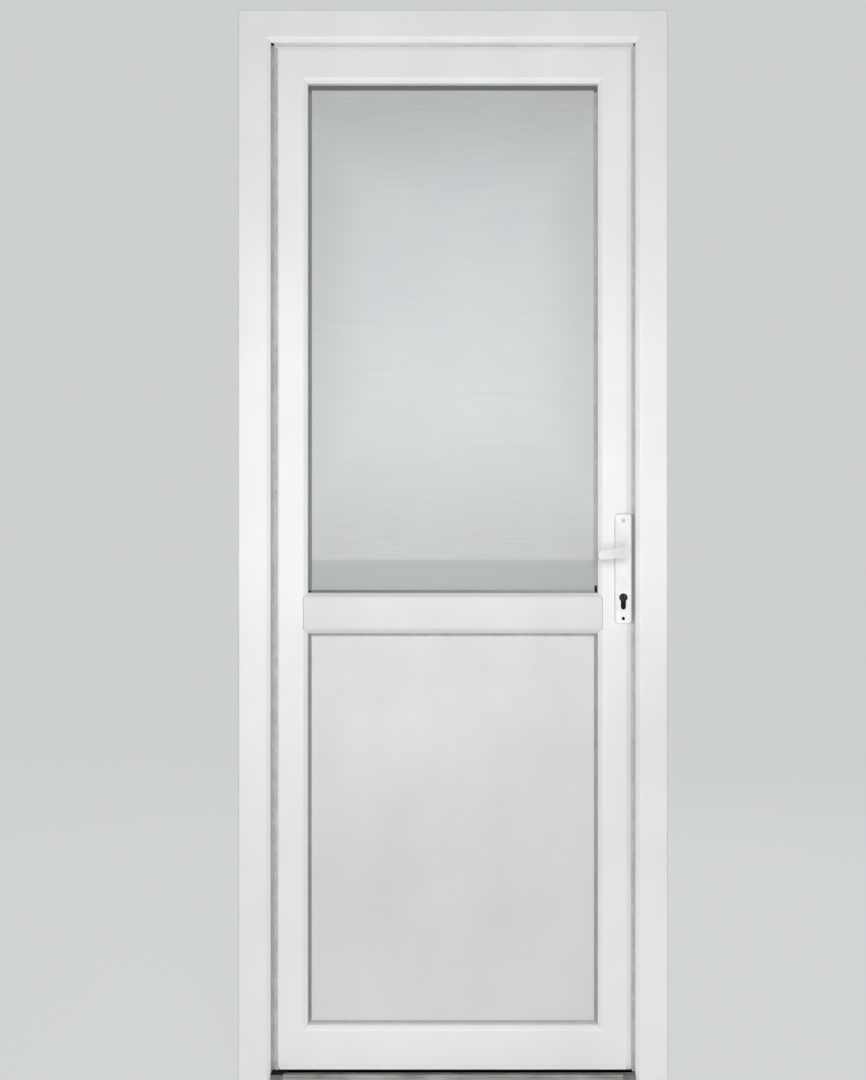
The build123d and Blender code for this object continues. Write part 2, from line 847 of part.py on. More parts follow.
def hinge_on_leaf(level):
    """The upper half of a hinge: its plate on the leaf, its web and its barrel."""
    top = level + hinge_length / 2
    low = level + hinge_washer_gap
    plate_start = hinge_x + hinge_leaf_plate_start
    plate_end = plate_start + hinge_leaf_plate_width
    with BuildPart() as half:
        block(plate_start, plate_end, leaf_back, leaf_back + hinge_plate_thickness,
              level - hinge_length / 2, top)
        block(hinge_x, plate_start + hinge_plate_thickness, leaf_back,
              leaf_back + hinge_web_thickness, level + hinge_web_lift, top)
        barrel(low, top)
        pin_bore(low, top - hinge_cap)
    return half


for level, label in zip(hinge_levels, ("bottom", "middle", "top")):
    save(hinge_on_frame(level), f"hinge_{label}_on_frame")
    save(hinge_on_leaf(level), f"hinge_{label}_on_leaf")

with BuildPart() as hinge_pins:
    for level in hinge_levels:
        pin_bottom = level - hinge_length / 2 + hinge_cap
        with BuildSketch(Plane.XY.offset(pin_bottom)):
            with Locations((hinge_x, hinge_y)):
                Circle(hinge_pin_radius)
        extrude(amount=hinge_length - 2 * hinge_cap - touch_gap)
save(hinge_pins, "hinge_pins")
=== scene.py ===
"""Half-glazed white uPVC entrance door in its own frame: the finished look of its CAD model.

The scene is in metres with X to the right seen from outside, Y into the room and Z up.
Sections and places below are in millimetres, and MM turns them into metres.
"""
import bmesh
import bpy
import math
from mathutils import Matrix, Vector


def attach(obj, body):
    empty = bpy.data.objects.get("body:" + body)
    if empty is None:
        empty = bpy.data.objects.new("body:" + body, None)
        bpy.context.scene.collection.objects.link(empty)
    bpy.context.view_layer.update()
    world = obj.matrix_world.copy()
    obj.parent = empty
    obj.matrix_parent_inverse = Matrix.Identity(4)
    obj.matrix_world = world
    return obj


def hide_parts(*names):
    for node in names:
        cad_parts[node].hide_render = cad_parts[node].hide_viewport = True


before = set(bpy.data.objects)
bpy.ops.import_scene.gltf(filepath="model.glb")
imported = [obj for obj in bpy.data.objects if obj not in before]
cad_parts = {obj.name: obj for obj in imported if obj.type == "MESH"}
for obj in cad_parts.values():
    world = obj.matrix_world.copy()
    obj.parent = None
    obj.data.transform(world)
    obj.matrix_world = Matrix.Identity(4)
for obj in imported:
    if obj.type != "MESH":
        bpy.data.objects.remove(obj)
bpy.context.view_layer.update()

MM = 0.001

# Openings that the bars run round: half width, bottom and top
frame_opening = (374, 0, 2132)
glass_opening = (299, 1003, 2053)
panel_opening = (299, 112, 919.5)
leaf_opening = (299, 112, 2053)

# Heights, widths and depths that several pieces share
frame_top, frame_half = 2198, 440
frame_corner = 5
front, back = -35, 35
leg_back = -13
leaf_front, leaf_back = -20, 50
leaf_bottom = 20.4
nose_half, body_half, overlap_half = 367, 382, 402
lip_back = 0
sill_top = 15.7
sill_depth = 14
strip_y = (-19.5, -8.5)
lock_y = 11
handle_x, handle_z = 349.5, 1086
plate_front, plate_back = -30, 60
screw_levels = (1152, 951)
head_seat, shank_bore, empty_bore = 4.1, 2.6, 3.5
cylinder_z, key_slot_z = 994, 974.5
fixing_levels = [250 + index * 1648 / 3 for index in range(4)]
fixing_x, fixing_bore = 417, 4.2
hinge_levels = {"bottom": 230, "middle": 1558, "top": 1958}
hinge_x, hinge_y = -408, 64
hinge_reach = 55
barrel_radius, cap_radius, cap_height = 9, 9.5, 4
plate_thick, screw_proud = 4, 0.8

# Raw ends of the bars before they are sawn, and the small ease at a welded or mitred joint
raw_jamb_end, raw_stile_end = 2300, 2200
weld_ease, mitre_ease = 0.5, 0.3


# Meshes
def section(points, place):
    """A mesh of one face, whose outline has rounded corners.

    Each point is two measures, such as the distance out from the opening and the depth, and
    the radius of its corner. place turns the two measures into a place in millimetres.
    """
    bm = bmesh.new()
    corners = [bm.verts.new(Vector(place(out, depth)) * MM) for out, depth, radius in points]
    bm.faces.new(corners)
    for radius in sorted({point[2] for point in points if point[2]}):
        sharp = [corner for corner, point in zip(corners, points) if point[2] == radius]
        bmesh.ops.bevel(bm, geom=sharp, offset=radius * MM, offset_type="OFFSET", segments=4,
                        profile=0.5, affect="VERTICES", clamp_overlap=True, material=-1)
    return bm


def extend(bm, along):
    """Extrude the mesh's one face into a solid bar along this vector in millimetres."""
    grown = bmesh.ops.extrude_face_region(bm, geom=bm.faces[:])
    moved = [item for item in grown["geom"] if isinstance(item, bmesh.types.BMVert)]
    bmesh.ops.translate(bm, vec=Vector(along) * MM, verts=moved)
    bmesh.ops.recalc_face_normals(bm, faces=bm.faces[:])
    return bm


def saw(bm, at, normal, ease=0.0):
    """Saw the bar through a plane, drop the side that the normal points to and close the end.

    ease softens the end's rim, so that two bars that meet there show a fine joint line.
    """
    everything = bm.verts[:] + bm.edges[:] + bm.faces[:]
    cut = bmesh.ops.bisect_plane(bm, geom=everything, plane_co=Vector(at) * MM, plane_no=normal,
                                 clear_outer=True)
    rim = [item for item in cut["geom_cut"] if isinstance(item, bmesh.types.BMEdge)]
    bmesh.ops.holes_fill(bm, edges=rim, sides=0)
    if ease:
        soften(bm, rim, ease, 1)


def soften(bm, edges, radius, segments=3):
    """Round these edges of the mesh off by a radius in millimetres."""
    bmesh.ops.bevel(bm, geom=edges, offset=radius * MM, offset_type="OFFSET", segments=segments,
                    profile=0.5, affect="EDGES", clamp_overlap=True, material=-1)
    return bm


def corner_plane(opening, side, end, upright):
    """The 45 degree plane out of an opening's corner, facing away from the bar that is kept."""
    half, bottom, top = opening
    at = (side * half, 0, top if end > 0 else bottom)
    sign = 1 if upright else -1
    return at, Vector((-side * sign, 0, end * sign)).normalized()


def upright_bar(points, opening, side, low, high, mitres=(), ease=0.0):
    """A bar beside an opening from low to high, mitred at the ends in mitres."""
    half = opening[0]
    bm = section(points, lambda out, depth: (side * (half + out), depth, low))
    extend(bm, (0, 0, high - low))
    for end in mitres:
        at, normal = corner_plane(opening, side, end, True)
        saw(bm, at, normal, ease)
    return bm


def level_bar(points, opening, end, left, right, mitres=(-1, 1), ease=0.0):
    """A bar over or under an opening from left to right, mitred on the sides in mitres."""
    edge = opening[2] if end > 0 else opening[1]
    bm = section(points, lambda out, depth: (left, depth, edge + end * out))
    extend(bm, (right - left, 0, 0))
    for side in mitres:
        at, normal = corner_plane(opening, side, end, False)
        saw(bm, at, normal, ease)
    return bm


def round_rod(centre, axis, radius, length, ease=0.0, segments=32):
    """A solid rod about a centre along an axis, in millimetres, with softened rims."""
    bm = bmesh.new()
    turn = Vector((0, 0, 1)).rotation_difference(Vector(axis)).to_matrix().to_4x4()
    bmesh.ops.create_cone(bm, cap_ends=True, segments=segments, radius1=radius * MM,
                          radius2=radius * MM, depth=length * MM,
                          matrix=Matrix.Translation(Vector(centre) * MM) @ turn)
    if ease:
        rims = [edge for edge in bm.edges if any(len(face.verts) > 4 for face in edge.link_faces)]
        soften(bm, rims, ease)
    return bm


def brick(low, high, ease=0.0):
    """A solid box between two corners, in millimetres, with softened edges."""
    bm = bmesh.new()
    bmesh.ops.create_cube(bm, size=1)
    low, high = Vector(low) * MM, Vector(high) * MM
    bmesh.ops.scale(bm, vec=high - low, verts=bm.verts[:])
    bmesh.ops.translate(bm, vec=(low + high) / 2, verts=bm.verts[:])
    if ease:
        soften(bm, bm.edges[:], ease)
    return bm


def mirrored_bricks(low, high, ease=0.0):
    """A box and its mirror image on the other side of the door."""
    other_low, other_high = (-high[0], *low[1:]), (-low[0], *high[1:])
    return join(brick(low, high, ease), brick(other_low, other_high, ease))


def join(*parts):
    """One mesh from several."""
    whole = parts[0]
    for part in parts[1:]:
        spare = bpy.data.meshes.new("spare")
        part.to_mesh(spare)
        part.free()
        whole.from_mesh(spare)
        bpy.data.meshes.remove(spare)
    return whole


def as_object(name, bm):
    """An object with this mesh, in the scene."""
    mesh = bpy.data.meshes.new(name)
    bm.to_mesh(mesh)
    bm.free()
    made = bpy.data.objects.new(name, mesh)
    bpy.context.scene.collection.objects.link(made)
    return made


def carve(bm, tool, operation="DIFFERENCE"):
    """The mesh with another solid cut out of it, or with only what lies within that solid."""
    work, cutter = as_object("work", bm), as_object("cutter", tool)
    change = work.modifiers.new("carve", "BOOLEAN")
    change.operation = operation
    change.solver = "EXACT"
    change.object = cutter
    depsgraph = bpy.context.evaluated_depsgraph_get()
    result = bpy.data.meshes.new_from_object(work.evaluated_get(depsgraph))
    carved = bmesh.new()
    carved.from_mesh(result)
    for used in (work, cutter):
        mesh = used.data
        bpy.data.objects.remove(used)
        bpy.data.meshes.remove(mesh)
    bpy.data.meshes.remove(result)
    return carved


def finish_piece(name, bm, material, body, nodes=(), crease=32):
    """Make a mesh a piece of the door: its material, its body and what it replaces."""
    bmesh.ops.remove_doubles(bm, verts=bm.verts[:], dist=0.002 * MM)
    bmesh.ops.recalc_face_normals(bm, faces=bm.faces[:])
    made = as_object(name, bm)
    for face in made.data.polygons:
        face.use_smooth = True
    made.data.set_sharp_from_angle(angle=math.radians(crease))
    even = made.modifiers.new("even_normals", "WEIGHTED_NORMAL")
    even.keep_sharp = True
    made.data.materials.append(material)
    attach(made, body)
    if nodes:
        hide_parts(*nodes)
    return made


# Materials
# Seal tones: the handle plate's painted shadow, and dust lying in patches
plate_shadow_tone, lying_dust = "9c9e9b", "6c6e6b"


def linear(hex_colour):
    """A colour of six hex digits as Blender's linear colour."""
    channels = [int(hex_colour[i:i + 2], 16) / 255 for i in (0, 2, 4)]
    return [c / 12.92 if c <= 0.04045 else ((c + 0.055) / 1.055) ** 2.4 for c in channels] + [1.0]


def add_node(tree, kind, inputs=None, give=0, **settings):
    """Add a node with its settings, and return its output that give names.

    An input is a value, or another node's output to link. Where give is None, the node
    itself comes back.
    """
    made = tree.nodes.new(kind)
    for key, value in settings.items():
        setattr(made, key, value)
    for key, value in (inputs or {}).items():
        if isinstance(value, bpy.types.NodeSocket):
            tree.links.new(value, made.inputs[key])
        else:
            made.inputs[key].default_value = value
    return made if give is None else made.outputs[give]


def per_mm(across, deep, high):
    """The Mapping scale at which a pattern's features have these sizes in millimetres."""
    return (1 / (across * MM), 1 / (deep * MM), 1 / (high * MM))


def new_material(name):
    """An empty node material, its tree and its Object coordinates."""
    material = bpy.data.materials.new(name)
    material.use_nodes = True
    tree = material.node_tree
    tree.nodes.clear()
    return material, tree, add_node(tree, "ShaderNodeTexCoord", give="Object")


def surface(tree, **sockets):
    """Give the material its one shader, with sockets named with underscores for spaces."""
    inputs = {key.replace("_", " "): value for key, value in sockets.items()}
    shader = add_node(tree, "ShaderNodeBsdfPrincipled", inputs)
    add_node(tree, "ShaderNodeOutputMaterial", {"Surface": shader}, give=None)


def extruded_upvc(name, clean, dusty_and_shaded, gloss):
    """Rigid white PVC, extruded: satin, nearly flawless, with the faintest long ripples.

    Dust tints it in soft patches; painted shade darkens the lower half and fades towards the foot.
    """
    material, tree, place = new_material(name)
    height = add_node(tree, "ShaderNodeSeparateXYZ", {"Vector": place}, "Z")
    most = 0.6
    # Painted shade: darker below 0.84 m, fading out below 0.45 m towards a lighter foot
    dusty = add_node(tree, "ShaderNodeMapRange", {
        "Value": height, "From Min": 0.84, "From Max": 1.04, "To Min": most, "To Max": 0.0},
        interpolation_type="SMOOTHSTEP")
    shade_fade_at_foot = add_node(tree, "ShaderNodeMapRange", {
        "Value": height, "From Min": 0.08, "From Max": 0.45, "To Min": 0.0, "To Max": most},
        interpolation_type="SMOOTHSTEP")
    dusty = add_node(tree, "ShaderNodeMath", {0: dusty, 1: shade_fade_at_foot}, operation="MINIMUM")
    stretched = add_node(tree, "ShaderNodeMapping", {
        "Vector": place, "Scale": per_mm(160, 160, 260)})
    cloud = add_node(tree, "ShaderNodeTexNoise", {
        "Vector": stretched, "Scale": 1.0, "Detail": 3.0})
    patches = add_node(tree, "ShaderNodeMapRange", {
        "Value": cloud, "From Min": 0.35, "From Max": 0.7, "To Min": 0.0, "To Max": 0.4})
    dust_and_shade = add_node(tree, "ShaderNodeMath", {0: dusty, 1: patches}, operation="ADD")
    colour = add_node(tree, "ShaderNodeMix", {0: dust_and_shade, 6: linear(clean), 7: linear(dusty_and_shaded)}, 2,
                      data_type="RGBA")
    marks = add_node(tree, "ShaderNodeTexNoise", {
        "Vector": place, "Scale": 1 / (45 * MM), "Detail": 3.0})
    sheen = add_node(tree, "ShaderNodeMapRange", {
        "Value": marks, "From Min": 0.3, "From Max": 0.7, "To Min": gloss - 0.03,
        "To Max": gloss + 0.05})
    drawn = add_node(tree, "ShaderNodeMapping", {"Vector": place, "Scale": per_mm(55, 55, 90)})
    waves = add_node(tree, "ShaderNodeTexNoise", {"Vector": drawn, "Scale": 1.0, "Detail": 1.0})
    ripple = add_node(tree, "ShaderNodeBump", {"Height": waves, "Distance": 0.10 * MM})
    surface(tree, Base_Color=colour, Roughness=sheen, IOR=1.53, Normal=ripple)
    return material


def soft_seal(name, left, right, top="", level=0, marks=()):
    """Co-extruded elastomer seal: matt, with dust in small patches and painted shade on the left.

    Its tone goes from left to right, and over this level in millimetres it has the top tone,
    which is painted for how the top of the opening is lit.
    The last argument holds the levels and reaches of the handle plate's painted shadow on the
    right.
    """
    material, tree, place = new_material(name)
    axes = add_node(tree, "ShaderNodeSeparateXYZ", {"Vector": place}, None)
    # Left and right tones: where they differ, the darker left one is painted shade
    across = add_node(tree, "ShaderNodeMapRange", {
        "Value": axes.outputs["X"], "From Min": -0.3, "From Max": 0.3})
    tone = add_node(tree, "ShaderNodeMix", {0: across, 6: linear(left), 7: linear(right)}, 2,
                    data_type="RGBA")
    # The top tone is painted for how the top of the opening is lit
    if top:
        above = add_node(tree, "ShaderNodeMath", {0: axes.outputs["Z"], 1: level * MM},
                         operation="GREATER_THAN")
        tone = add_node(tree, "ShaderNodeMix", {0: above, 6: tone, 7: linear(top)}, 2,
                        data_type="RGBA")
    # Painted shadow of the handle plate on the right side, round these levels
    for height, reach in marks:
        beside = add_node(tree, "ShaderNodeMath", {
            0: axes.outputs["Z"], 1: height * MM, 2: reach * MM}, operation="COMPARE")
        beside = add_node(tree, "ShaderNodeMath", {0: beside, 1: across}, operation="MULTIPLY")
        tone = add_node(tree, "ShaderNodeMix", {0: beside, 6: tone, 7: linear(plate_shadow_tone)}, 2,
                        data_type="RGBA")
    dust = add_node(tree, "ShaderNodeTexNoise", {
        "Vector": place, "Scale": 1 / (22 * MM), "Detail": 3.0})
    worn = add_node(tree, "ShaderNodeMapRange", {
        "Value": dust, "From Min": 0.35, "From Max": 0.7, "To Min": 0.0, "To Max": 0.3})
    colour = add_node(tree, "ShaderNodeMix", {0: worn, 6: tone, 7: linear(lying_dust)}, 2,
                      data_type="RGBA")
    pores = add_node(tree, "ShaderNodeTexNoise", {"Vector": place, "Scale": 1 / (1.2 * MM)})
    skin = add_node(tree, "ShaderNodeBump", {"Height": pores, "Distance": 0.06 * MM})
    surface(tree, Base_Color=colour, Roughness=0.62, Normal=skin)
    return material


def moulded_plastic(name, clean, dusty, gleam):
    """Injection-moulded plastic or brush pile: dull, with a fine spark-eroded grain and dust."""
    material, tree, place = new_material(name)
    dust = add_node(tree, "ShaderNodeTexNoise", {
        "Vector": place, "Scale": 1 / (9 * MM), "Detail": 3.0})
    lying = add_node(tree, "ShaderNodeMapRange", {
        "Value": dust, "From Min": 0.45, "From Max": 0.8})
    colour = add_node(tree, "ShaderNodeMix", {0: lying, 6: linear(clean), 7: linear(dusty)}, 2,
                      data_type="RGBA")
    grain = add_node(tree, "ShaderNodeTexNoise", {"Vector": place, "Scale": 1 / (0.9 * MM)})
    skin = add_node(tree, "ShaderNodeBump", {"Height": grain, "Distance": 0.05 * MM})
    surface(tree, Base_Color=colour, Roughness=0.6, Specular_IOR_Level=gleam, Normal=skin)
    return material


def satin_film_glass():
    """Float glass with a satin film of faint level streaks, and a painted dark band above the mid
    rail.

    The film is milky and blue-grey, and painted shade darkens it towards the pane's edges and
    rails.
    """
    half, bottom, top = glass_opening
    material, tree, place = new_material("satin_film_glass")
    axes = add_node(tree, "ShaderNodeSeparateXYZ", {"Vector": place}, None)
    height = axes.outputs["Z"]
    across = add_node(tree, "ShaderNodeMath", {0: axes.outputs["X"]}, operation="ABSOLUTE")
    fine = add_node(tree, "ShaderNodeMapping", {"Vector": place, "Scale": per_mm(90, 90, 1.6)})
    streaks = add_node(tree, "ShaderNodeTexNoise", {
        "Vector": fine, "Scale": 1.0, "Detail": 3.0, "Roughness": 0.6})
    wide = add_node(tree, "ShaderNodeMapping", {"Vector": place, "Scale": per_mm(420, 420, 16)})
    bands = add_node(tree, "ShaderNodeTexNoise", {"Vector": wide, "Scale": 1.0})
    clouded = add_node(tree, "ShaderNodeMapping", {
        "Vector": place, "Scale": per_mm(150, 150, 220)})
    cloud = add_node(tree, "ShaderNodeTexNoise", {"Vector": clouded, "Scale": 1.0, "Detail": 3.0})
    # Painted shade: darker towards the pane's sides, its top and its foot
    edge_shade = add_node(tree, "ShaderNodeMapRange", {
        "Value": across, "From Min": 160 * MM, "From Max": half * MM, "To Max": 0.7},
        interpolation_type="SMOOTHSTEP")
    shade_near_rails = (((top - 260) * MM, top * MM, 0.0, 1.0),
                  ((bottom + 60) * MM, (bottom + 420) * MM, 1.0, 0.0))
    for low, high, at_low, at_high in shade_near_rails:
        faded = add_node(tree, "ShaderNodeMapRange", {
            "Value": height, "From Min": low, "From Max": high, "To Min": at_low,
            "To Max": at_high}, interpolation_type="SMOOTHSTEP")
        edge_shade = add_node(tree, "ShaderNodeMath", {0: edge_shade, 1: faded}, operation="MAXIMUM")
    colour = add_node(tree, "ShaderNodeMix", {0: edge_shade, 6: linear("d5dada"), 7: linear("c1c3c1")},
                      2, data_type="RGBA")
    # A darker band painted along the pane's foot, standing for what shows through it from behind
    view_through_band = (height, (bottom + 65) * MM, (bottom + 70) * MM, 1.0, 0.0, "b0b4b3")
    layers = (
        (streaks, 0.42, 0.72, 0.0, 0.3, "e6eaea"),
        (bands, 0.5, 0.8, 0.0, 0.25, "bfc6c8"),
        (cloud, 0.4, 0.7, 0.0, 0.35, "ccd3d6"),
        view_through_band,
    )
    for value, low, high, at_low, at_high, tone in layers:
        share = add_node(tree, "ShaderNodeMapRange", {
            "Value": value, "From Min": low, "From Max": high, "To Min": at_low,
            "To Max": at_high})
        colour = add_node(tree, "ShaderNodeMix", {0: share, 6: colour, 7: linear(tone)}, 2,
                          data_type="RGBA")
    satin = add_node(tree, "ShaderNodeMapRange", {
        "Value": streaks, "From Min": 0.3, "From Max": 0.7, "To Min": 0.38, "To Max": 0.43})
    relief = add_node(tree, "ShaderNodeBump", {"Height": streaks, "Distance": 0.015 * MM})
    surface(tree, Base_Color=colour, Roughness=satin, IOR=1.52, Transmission_Weight=0.12,
            Normal=relief)
    return material


def clear_glass():
    """Plain float glass of the inner pane: faintly green, smooth and slightly dusty."""
    material, tree, place = new_material("clear_float_glass")
    dust = add_node(tree, "ShaderNodeTexNoise", {
        "Vector": place, "Scale": 1 / (60 * MM), "Detail": 4.0})
    haze = add_node(tree, "ShaderNodeMapRange", {
        "Value": dust, "From Min": 0.3, "From Max": 0.8, "To Min": 0.08, "To Max": 0.2})
    surface(tree, Base_Color=linear("f2f4f4"), Roughness=haze, IOR=1.52,
            Transmission_Weight=0.8)
    return material


def powder_coat(name, light, dark):
    """White powder coat on die-cast metal: even, satin, with a close orange peel."""
    material, tree, place = new_material(name)
    touch = add_node(tree, "ShaderNodeTexNoise", {
        "Vector": place, "Scale": 1 / (30 * MM), "Detail": 4.0})
    worn = add_node(tree, "ShaderNodeMapRange", {
        "Value": touch, "From Min": 0.35, "From Max": 0.75})
    colour = add_node(tree, "ShaderNodeMix", {0: worn, 6: linear(light), 7: linear(dark)}, 2,
                      data_type="RGBA")
    peel = add_node(tree, "ShaderNodeTexNoise", {"Vector": place, "Scale": 1 / (1.6 * MM)})
    skin = add_node(tree, "ShaderNodeBump", {"Height": peel, "Distance": 0.05 * MM})
    surface(tree, Base_Color=colour, Roughness=0.34, Normal=skin)
    return material


def plated_steel(name, dull, bright):
    """Zinc-plated steel: bluish grey, with a spangled, lightly scuffed plating."""
    material, tree, place = new_material(name)
    spangle = add_node(tree, "ShaderNodeTexNoise", {
        "Vector": place, "Scale": 1 / (6 * MM), "Detail": 4.0})
    colour = add_node(tree, "ShaderNodeMix", {0: spangle, 6: linear(dull), 7: linear(bright)}, 2,
                      data_type="RGBA")
    drawn = add_node(tree, "ShaderNodeMapping", {"Vector": place, "Scale": per_mm(2, 2, 40)})
    scratches = add_node(tree, "ShaderNodeTexNoise", {
        "Vector": drawn, "Scale": 1.0, "Detail": 3.0})
    scuffs = add_node(tree, "ShaderNodeMapRange", {
        "Value": scratches, "From Min": 0.3, "From Max": 0.7, "To Min": 0.26, "To Max": 0.44})
    surface(tree, Base_Color=colour, Roughness=scuffs, Metallic=1.0)
    return material


def mill_aluminium():
    """Extruded mill-finish aluminium: dull silver, with die lines along X and grey weathering."""
    material, tree, place = new_material("mill_finish_aluminium")
    drawn = add_node(tree, "ShaderNodeMapping", {"Vector": place, "Scale": per_mm(400, 0.9, 0.9)})
    lines = add_node(tree, "ShaderNodeTexNoise", {"Vector": drawn, "Scale": 1.0})
    lying = add_node(tree, "ShaderNodeMapping", {"Vector": place, "Scale": per_mm(60, 20, 20)})
    rain = add_node(tree, "ShaderNodeTexNoise", {"Vector": lying, "Scale": 1.0, "Detail": 4.0})
    weather = add_node(tree, "ShaderNodeMapRange", {
        "Value": rain, "From Min": 0.35, "From Max": 0.7})
    colour = add_node(tree, "ShaderNodeMix", {
        0: weather, 6: linear("b4b4b2"), 7: linear("8d8d8b")}, 2, data_type="RGBA")
    satin = add_node(tree, "ShaderNodeMapRange", {
        "Value": lines, "From Min": 0.3, "From Max": 0.7, "To Min": 0.34, "To Max": 0.5})
    ridges = add_node(tree, "ShaderNodeBump", {"Height": lines, "Distance": 0.03 * MM})
    surface(tree, Base_Color=colour, Roughness=satin, Metallic=0.85, Normal=ridges)
    return material


def darkened_brass(name, dark, rubbed_and_glint):
    """Burnished brass of a lock cylinder: nearly black, with patches of key wear and painted
    glint.
    """
    material, tree, place = new_material(name)
    touch = add_node(tree, "ShaderNodeTexNoise", {
        "Vector": place, "Scale": 1 / (3 * MM), "Detail": 4.0})
    worn = add_node(tree, "ShaderNodeMapRange", {"Value": touch, "From Min": 0.5, "From Max": 0.8})
    colour = add_node(tree, "ShaderNodeMix", {0: worn, 6: linear(dark), 7: linear(rubbed_and_glint)}, 2,
                      data_type="RGBA")
    surface(tree, Base_Color=colour, Roughness=0.5, Specular_IOR_Level=0.1)
    return material


profile_white = extruded_upvc("satin_white_upvc", "f0f0ef", "dedfdc", 0.36)
# A darker copy of the white for the mid rail: painted shade
mid_rail_shaded_white = extruded_upvc("shaded_white_mid_rail_upvc", "dddedd", "cfcfcc", 0.38)
panel_white = extruded_upvc("smooth_white_panel_skin", "dcdddb", "cccdca", 0.36)
bead_white = extruded_upvc("satin_white_bead_upvc", "f3f3f2", "e4e4e2", 0.30)
# Painted shade darkens the left tones; the frame seal's pale top is painted light
frame_seal_grey = soft_seal("pale_grey_frame_seal", "b3b5b4", "bfc1c0", "eeefee", 2130.5,
                            ((1053, 113),))
# A grey for the painted shadow of the jamb on the hinge side's nose bevel
nose_shadow_grey = soft_seal("grey_painted_shadow_strip", "c9cbca", "c9cbca")
# The glass gasket's dark top: its grey, deepened by painted shade under the top rail
glass_seal_grey = soft_seal("grey_glass_gasket", "7f817f", "b4b5b4", "5c5e5c", 2040)
# The panel's upright gaskets are darker than its level ones by painted shade
panel_seal_grey = soft_seal("pale_grey_panel_gasket", "8b8d8b", "a0a2a0")
panel_level_grey = soft_seal("pale_grey_level_panel_gasket", "b6b8b6", "b8bab8")
inner_seal_grey = soft_seal("grey_inner_seal", "8f918f", "8f918f")
black_plastic = moulded_plastic("black_moulded_plastic", "0c0c0c", "1c1c1b", 0.15)
brush_black = moulded_plastic("black_brush_pile", "030303", "0a0a0a", 0.0)
sill_grey = moulded_plastic("weathered_grey_moulded_plastic", "6a6b6a", "8a8b89", 0.5)
film_glass = satin_film_glass()
inner_glass = clear_glass()
coat_white = powder_coat("white_powder_coat", "f2f3f1", "e4e4e2")
# A darker copy of the white coat for the levers: painted shade
lever_shaded_white = powder_coat("shaded_white_powder_coat", "e3e4e2", "d2d2d0")
steel = plated_steel("zinc_plated_steel", "8f9396", "b6b9ba")
screw_steel = powder_coat("pale_grey_screw_coat", "cfd0cf", "b6b7b6")
aluminium = mill_aluminium()
brass = darkened_brass("blackened_brass", "060606", "0d0d0c")
# The plug's lighter face and bright patches: key wear, and a painted glint
plug_brass = darkened_brass("brass_plug_rubbed_and_glinting", "2b2927", "8a867f")

# Sections: distance out from the opening, depth and corner radius
frame_section = [
    (0, -29, 1.2), (9, front, 2.5), (66, front, 3.5), (66, -24, 0.4), (63.5, -23, 0.4),
    (63.5, -17, 0.4), (66, -16, 0.4), (66, 22, 0.4), (63.5, 23, 0.4), (63.5, 29, 0.4),
    (66, 30, 0.4), (66, back, 1.5), (20, back, 1.5), (20, leg_back, 0.5), (0, leg_back, 0.8),
]
leaf_inner = [
    (22, leaf_back, 0), (22, lip_back, 0), (0, lip_back, 0.5), (0, -14, 1.0),
    (9, leaf_front, 2.5),
]
bottom_section = leaf_inner + [
    (81.6, leaf_front, 2.5), (91.6, -15, 1.0), (91.6, leaf_back, 1.5),
]
bead_section = [
    (0, 30, 0.4), (22, 30, 0), (22, leaf_back, 0.4), (8, leaf_back, 2.0), (0, 42, 1.2),
]
upright_seal = [(-5, leg_back, 1.0), (4, leg_back, 0), (4, -10.3, 0), (-5, -10.3, 1.0)]
level_seal = [(-1.5, leg_back, 0.6), (4, leg_back, 0), (4, -10.3, 0), (-1.5, -10.3, 0.6)]
# Section of a grey strip that paints the jamb's shadow on the hinge side's nose bevel
shadow_strip_section = [
    (61.5, -18.25, 0), (61.7, -18.75, 0.2), (68.35, -15.4, 0.2), (68.35, -10.4, 0),
    (68, -10.4, 0), (68, -15, 0),
]
sill_section = [
    (front, 0, 0), (front, 10.8, 0.3), (-32, 10.8, 0), (-32, 13.4, 0), (front, 13.4, 0.3),
    (-33, sill_top, 0.6), (-21, 16.4, 0.5), (strip_y[0], 16.4, 0.3), (strip_y[0], 15.2, 0),
    (strip_y[1], 15.2, 0), (strip_y[1], sill_top, 0.2),
    (33, sill_top, 1.0), (back, 13.7, 0.5), (back, 0, 0),
]


def gasket_section(lip):
    """A glazing gasket's section, whose lip stands this far into the opening."""
    return [(-lip, 3, 0.3), (-lip, 1.4, 0.7), (-2, 0, 0.8), (18, 0, 0), (18, 3, 0)]


def leaf_section(nose, body):
    """A stile's or the top rail's section, with the groove for the lock's long face plate."""
    groove_front, groove_back = lock_y - 8, lock_y + 8
    return leaf_inner + [
        (nose - 10, leaf_front, 2.5), (nose, -15, 1.0), (nose, -10, 0.6), (body, -10, 0.6),
        (body, groove_front, 0.2), (body - 3, groove_front, 0.2), (body - 3, groove_back, 0.2),
        (body, groove_back, 0.2), (body, 38, 0.5), (body + 20, 38, 0.8),
        (body + 20, leaf_back, 1.5),
    ]


# Frame
def round_corner(bm, side):
    """Round the frame's upper outer corner on this side, cut by cut."""
    centre = Vector((side * (frame_half - frame_corner), 0, frame_top - frame_corner))
    for angle in (15, 45, 75):
        out = Vector((side * math.cos(math.radians(angle)), 0, math.sin(math.radians(angle))))
        saw(bm, centre + out * frame_corner, out)


# Where the latch and the bolt enter the jamb: level and height
bolt_windows = ((1091, 36), (1021, 40))

